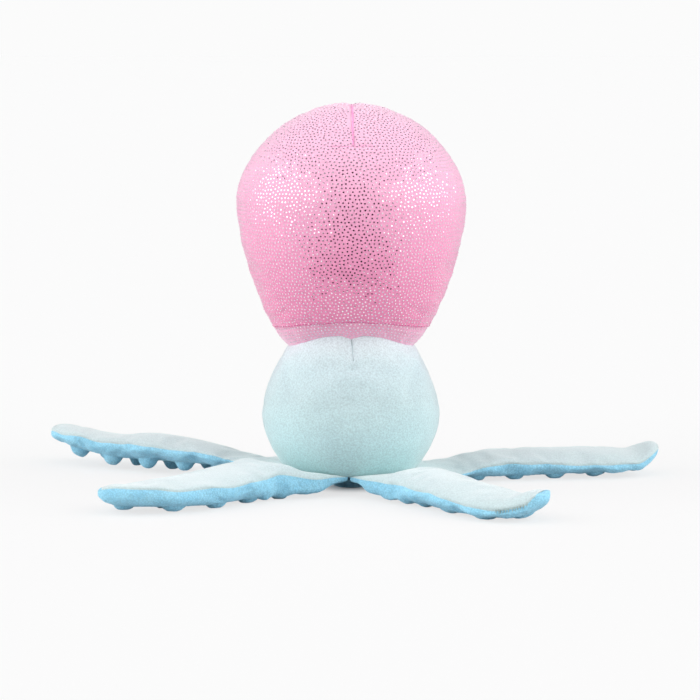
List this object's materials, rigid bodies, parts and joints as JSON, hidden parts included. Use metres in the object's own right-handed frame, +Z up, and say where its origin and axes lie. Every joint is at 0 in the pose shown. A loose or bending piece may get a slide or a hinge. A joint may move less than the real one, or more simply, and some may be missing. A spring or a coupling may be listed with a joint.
{
  "type": "plush squid dog toy",
  "caption": "Free-standing plush squid dog toy: a stuffed dotted mantle nods on a round head, over stuffed tentacles with sucker bumps that fold at their root seams.",
  "frame": {"origin": "centre of the flat foot of the base panel, on which the toy rests", "axes": "+Z up through the neck and crown; +Y towards the front of the toy, with the eyes; -Y towards the camera; +X to the right in the picture, along the spread of the tentacles"},
  "size_m": [0.3616, 0.2384, 0.2171],
  "materials": {
    "pink_dotted_velboa": "short pile with small printed foil dots",
    "pale_pink_velboa": "short pile",
    "mint_velboa": "short pile",
    "blue_fleece": "curly coral fleece",
    "fibre_fill": "loose polyester fibre",
    "dark_thread": "satin stitch",
    "squeaker_plastic": "blown, satin"
  },
  "bodies": {
    "head": {"head_back_cover": "mint_velboa", "head_front_cover": "mint_velboa", "head_fill": "fibre_fill", "base_panel": "blue_fleece", "left_eye": "dark_thread", "right_eye": "dark_thread"},
    "mantle": {"mantle_back_cover": "pink_dotted_velboa", "mantle_front_cover": "pink_dotted_velboa", "neck_band": "pale_pink_velboa", "mantle_fill": "fibre_fill", "squeaker_bulb": "squeaker_plastic", "squeaker_plug": "squeaker_plastic", "squeaker_reed": "squeaker_plastic"},
    "near_left_tentacle": {"near_left_top_panel": "mint_velboa", "near_left_sole_panel": "blue_fleece", "near_left_fill": "fibre_fill"},
    "near_right_tentacle": {"near_right_top_panel": "mint_velboa", "near_right_sole_panel": "blue_fleece", "near_right_fill": "fibre_fill"},
    "far_right_tentacle": {"far_right_top_panel": "mint_velboa", "far_right_sole_panel": "blue_fleece", "far_right_fill": "fibre_fill"},
    "far_left_tentacle": {"far_left_top_panel": "mint_velboa", "far_left_sole_panel": "blue_fleece", "far_left_fill": "fibre_fill"}
  },
  "joints": [
    {"name": "neck_nod", "type": "hinge", "parent": "head", "child": "mantle", "pos_m": [0, 0, 0.0855], "axis": [1, 0, 0], "range_deg": [-10, 10], "stiffness_Nm_per_rad": 0.25, "deforming": ["neck_band"]},
    {"name": "near_left_fold", "type": "hinge", "parent": "head", "child": "near_left_tentacle", "pos_m": [-0.03026, -0.02364, 0.0105], "axis": [-0.6157, 0.788, 0], "range_deg": [-70, 38], "stiffness_Nm_per_rad": 0.02},
    {"name": "near_right_fold", "type": "hinge", "parent": "head", "child": "near_right_tentacle", "pos_m": [0.02202, -0.03145, 0.0105], "axis": [-0.8192, -0.5736, 0], "range_deg": [-70, 38], "stiffness_Nm_per_rad": 0.02},
    {"name": "far_right_fold", "type": "hinge", "parent": "head", "child": "far_right_tentacle", "pos_m": [0.03508, 0.01562, 0.0105], "axis": [0.4067, -0.9135, 0], "range_deg": [-70, 38], "stiffness_Nm_per_rad": 0.02},
    {"name": "far_left_fold", "type": "hinge", "parent": "head", "child": "far_left_tentacle", "pos_m": [-0.03325, 0.0192, 0.0105], "axis": [0.5, 0.866, 0], "range_deg": [-70, 38], "stiffness_Nm_per_rad": 0.02}
  ]
}
